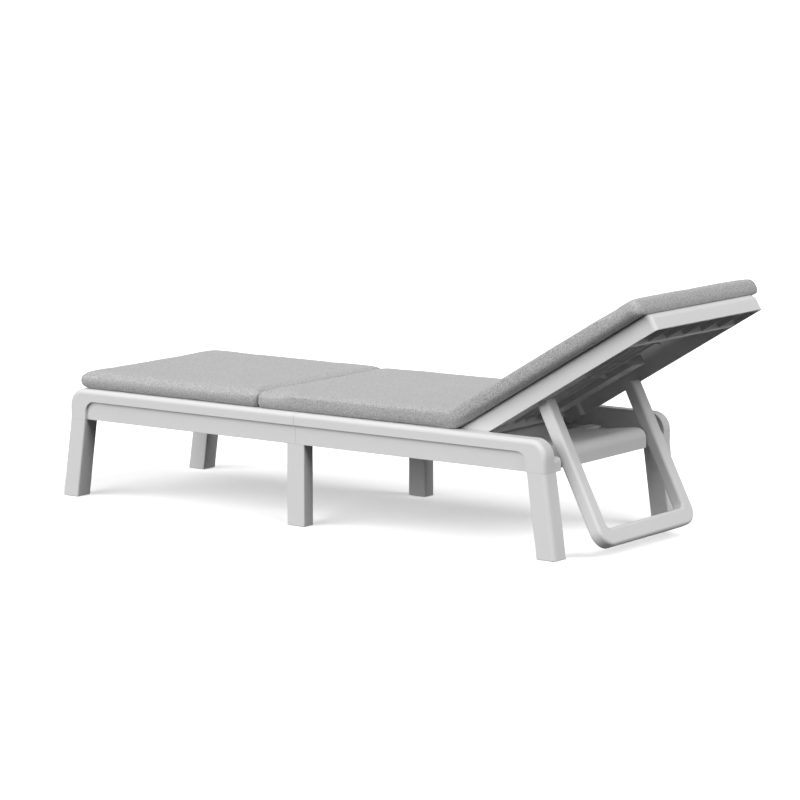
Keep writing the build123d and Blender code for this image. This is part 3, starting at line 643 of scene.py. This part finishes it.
def screw_shapes(node, axis):
    """Where a group's screws stand: head faces, directions and the four sizes."""
    rim_share, axis_reach = 0.9, 0.001
    copy = bmesh.new()
    copy.from_mesh(frame["nodes"][node].data)
    bmesh.ops.remove_doubles(copy, verts=copy.verts, dist=WELD)
    places, seen = [], set()
    sizes_found = None
    for start in copy.verts:
        if start.index in seen:
            continue
        island, waiting = [], [start]
        seen.add(start.index)
        while waiting:
            vertex = waiting.pop()
            island.append(vertex.co.copy())
            for edge in vertex.link_edges:
                other = edge.other_vert(vertex)
                if other.index not in seen:
                    seen.add(other.index)
                    waiting.append(other)
        heights = [point.dot(axis) for point in island]
        middle = sum(island, Vector()) / len(island)
        reach = [((p - middle) - axis * (p - middle).dot(axis)).length for p in island]
        head = [h for h, r in zip(heights, reach) if r > max(reach) * rim_share]
        shank = min(r for r in reach if r > axis_reach)
        up = 1 if max(head) > (max(heights) + min(heights)) / 2 else -1
        face = max(heights) if up > 0 else min(heights)
        places.append((middle + axis * (face - middle.dot(axis)), axis * up))
        head_height = max(head) - min(head)
        sizes_found = (max(reach), head_height, shank,
                       max(heights) - min(heights) - head_height)
    copy.free()
    return places, sizes_found


class LOUNGER_OT_screws(bpy.types.Operator):
    """Put socket-head screws in place of the plain ones"""
    bl_idname = "lounger.screws"
    bl_label = "Screws"

    def execute(self, context):
        tree = screw_tree()
        steel = bpy.data.materials["turned_stainless_steel"]
        across, upright = Vector((0, 1, 0)), Vector((0, 0, 1))
        groups = {"foot_leg_screws": across, "mid_leg_screws": across,
                  "head_leg_screws": across, "crossbar_screws": across,
                  "foot_deck_screws": upright, "seat_deck_screws": upright,
                  "rack_screws": OFF_BACK}
        for node, axis in groups.items():
            places, values = screw_shapes(node, axis)
            mesh = bpy.data.meshes.new(node)
            mesh.from_pydata([place for place, facing in places], [], [])
            facing = mesh.attributes.new("facing", "FLOAT_VECTOR", "POINT")
            for item, (place, direction) in zip(facing.data, places):
                item.vector = direction
            piece = mesh_object(node.replace("_screws", "_socket_screws"), mesh)
            self.grow(piece, tree, values, steel)
            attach(piece, "backrest" if node == "rack_screws" else "frame")
            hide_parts(node)
        return {"FINISHED"}

    def grow(self, piece, tree, values, steel):
        """Run the geometry nodes on a group's points and keep the plain mesh."""
        modifier = piece.modifiers.new("screws", "NODES")
        modifier.node_group = tree
        names = ("Head radius", "Head height", "Shank radius", "Shank length", "Finish")
        wanted = dict(zip(names, (*values, steel)))
        for item in tree.interface.items_tree:
            if item.item_type == "SOCKET" and item.in_out == "INPUT" and item.name in wanted:
                modifier[item.identifier] = wanted[item.name]
        mesh = bpy.data.meshes.new_from_object(
            piece.evaluated_get(bpy.context.evaluated_depsgraph_get()))
        piece.modifiers.clear()
        piece.data = mesh


# Stage

def seen_directly(tree):
    """One for rays that show the studio: from the camera, off metal or through glass."""
    path = add_node(tree, "ShaderNodeLightPath")
    total = add_node(tree, "ShaderNodeMath", {"operation": "MAXIMUM"},
                     i0=path.outputs["Is Camera Ray"], i1=path.outputs["Is Glossy Ray"])
    total = add_node(tree, "ShaderNodeMath", {"operation": "MAXIMUM"},
                     i0=total.outputs[0], i1=path.outputs["Is Transmission Ray"])
    return total.outputs[0]


def studio_paper():
    """Matt studio paper: white to the camera, with the shadow kept, and dim to the object."""
    material, tree, dim = new_material("matt_studio_paper")
    dim.inputs["Base Color"].default_value = linear(colours().floor_hex)
    dim.inputs["Roughness"].default_value = 1.0
    dim.inputs["Specular IOR Level"].default_value = 0.0
    white = add_node(tree, "ShaderNodeBsdfDiffuse", Color=(1, 1, 1, 1))
    paper_lift = 0.47
    lift = add_node(tree, "ShaderNodeEmission", Color=(1, 1, 1, 1), Strength=paper_lift)
    shown = add_node(tree, "ShaderNodeAddShader")
    tree.links.new(white.outputs[0], shown.inputs[0])
    tree.links.new(lift.outputs[0], shown.inputs[1])
    mix = add_node(tree, "ShaderNodeMixShader", Fac=seen_directly(tree))
    tree.links.new(dim.outputs[0], mix.inputs[1])
    tree.links.new(shown.outputs[0], mix.inputs[2])
    output = next(node for node in tree.nodes if node.type == "OUTPUT_MATERIAL")
    tree.links.new(mix.outputs[0], output.inputs["Surface"])
    return material


class LOUNGER_OT_stage(bpy.types.Operator):
    """Make the floor, the light and the camera"""
    bl_idname = "lounger.stage"
    bl_label = "Stage"

    def execute(self, context):
        scene = context.scene
        scene.view_settings.view_transform = "Standard"
        self.make_floor()
        self.make_world(scene)
        self.make_lamps()
        self.make_camera(scene)
        return {"FINISHED"}

    def make_floor(self):
        """A pale floor that shows white to the camera and keeps the shadow."""
        reach = sizes().floor_reach
        mesh = bpy.data.meshes.new("studio_floor")
        corners = [(-reach, -reach, 0), (reach, -reach, 0),
                   (reach, reach, 0), (-reach, reach, 0)]
        mesh.from_pydata(corners, [], [(0, 1, 2, 3)])
        floor = mesh_object("studio_floor", mesh)
        mesh.materials.append(studio_paper())

    def make_world(self, scene):
        """A faint dome that lifts the shade, white to the camera."""
        world = bpy.data.worlds.new("studio_dome")
        scene.world = world
        world.use_nodes = True
        tree = world.node_tree
        tree.nodes.clear()
        light = add_node(tree, "ShaderNodeBackground", Color=(1, 1, 1, 1), Strength=0.07)
        shown = add_node(tree, "ShaderNodeBackground", Color=(1, 1, 1, 1), Strength=1.0)
        mix = add_node(tree, "ShaderNodeMixShader", Fac=seen_directly(tree))
        tree.links.new(light.outputs[0], mix.inputs[1])
        tree.links.new(shown.outputs[0], mix.inputs[2])
        output = add_node(tree, "ShaderNodeOutputWorld")
        tree.links.new(mix.outputs[0], output.inputs["Surface"])

    def make_lamps(self):
        """A broad key from the near side and a broad fill from the head end."""
        self.make_sun("key", Vector((0.3, 0.75, -0.42)), 2.95, 60)
        self.make_sun("fill", Vector((-0.37, 0.03, -0.35)), 2.45, 46)

    def make_sun(self, name, toward, strength, spread):
        """A soft distant lamp that shines along a direction; spread is in degrees."""
        lamp = bpy.data.lights.new(name, "SUN")
        lamp.energy = strength
        lamp.angle = radians(spread)
        source = bpy.data.objects.new(name, lamp)
        bpy.context.scene.collection.objects.link(source)
        source.rotation_euler = toward.to_track_quat("-Z", "Y").to_euler()

    def make_camera(self, scene):
        """The photograph's viewpoint."""
        data = bpy.data.cameras.new("viewpoint")
        data.sensor_width = 36.0
        data.lens = 152.3
        data.clip_end = 200.0
        camera = bpy.data.objects.new("viewpoint", data)
        scene.collection.objects.link(camera)
        scene.camera = camera
        shift = CAD_BOX[0].x
        # Fitted to points of the photograph, with X measured from the foot end
        camera.location = Vector((6.3331 + shift, -7.4294, 1.6999))
        yaw, pitch = radians(54.133), radians(8.56)
        look = Vector((-cos(yaw) * cos(pitch), sin(yaw) * cos(pitch), -sin(pitch)))
        camera.rotation_euler = look.to_track_quat("-Z", "Y").to_euler()


class LOUNGER_PT_panel(bpy.types.Panel):
    """The lounger's steps"""
    bl_idname = "LOUNGER_PT_panel"
    bl_label = "Lounger"
    bl_space_type = "VIEW_3D"
    bl_region_type = "UI"
    bl_category = "Lounger"

    def draw(self, context):
        for group in (context.scene.lounger_sizes, context.scene.lounger_colours):
            for name in group.__annotations__:
                self.layout.prop(group, name)
        for operator in OPERATORS:
            self.layout.operator(operator.bl_idname)


OPERATORS = (LOUNGER_OT_finishes, LOUNGER_OT_pads, LOUNGER_OT_screws, LOUNGER_OT_stage)
CLASSES = (LoungerSizes, LoungerColours, *OPERATORS, LOUNGER_PT_panel)


def register():
    """Register the classes and the scene's settings."""
    for cls in CLASSES:
        bpy.utils.register_class(cls)
    bpy.types.Scene.lounger_sizes = bpy.props.PointerProperty(type=LoungerSizes)
    bpy.types.Scene.lounger_colours = bpy.props.PointerProperty(type=LoungerColours)


def unregister():
    """Take back what register added."""
    del bpy.types.Scene.lounger_colours
    del bpy.types.Scene.lounger_sizes
    for cls in reversed(CLASSES):
        bpy.utils.unregister_class(cls)


def main():
    """Dress the lounger."""
    register()
    bpy.ops.lounger.finishes()
    bpy.ops.lounger.pads()
    bpy.ops.lounger.screws()
    bpy.ops.lounger.stage()


if __name__ == "__main__":
    main()
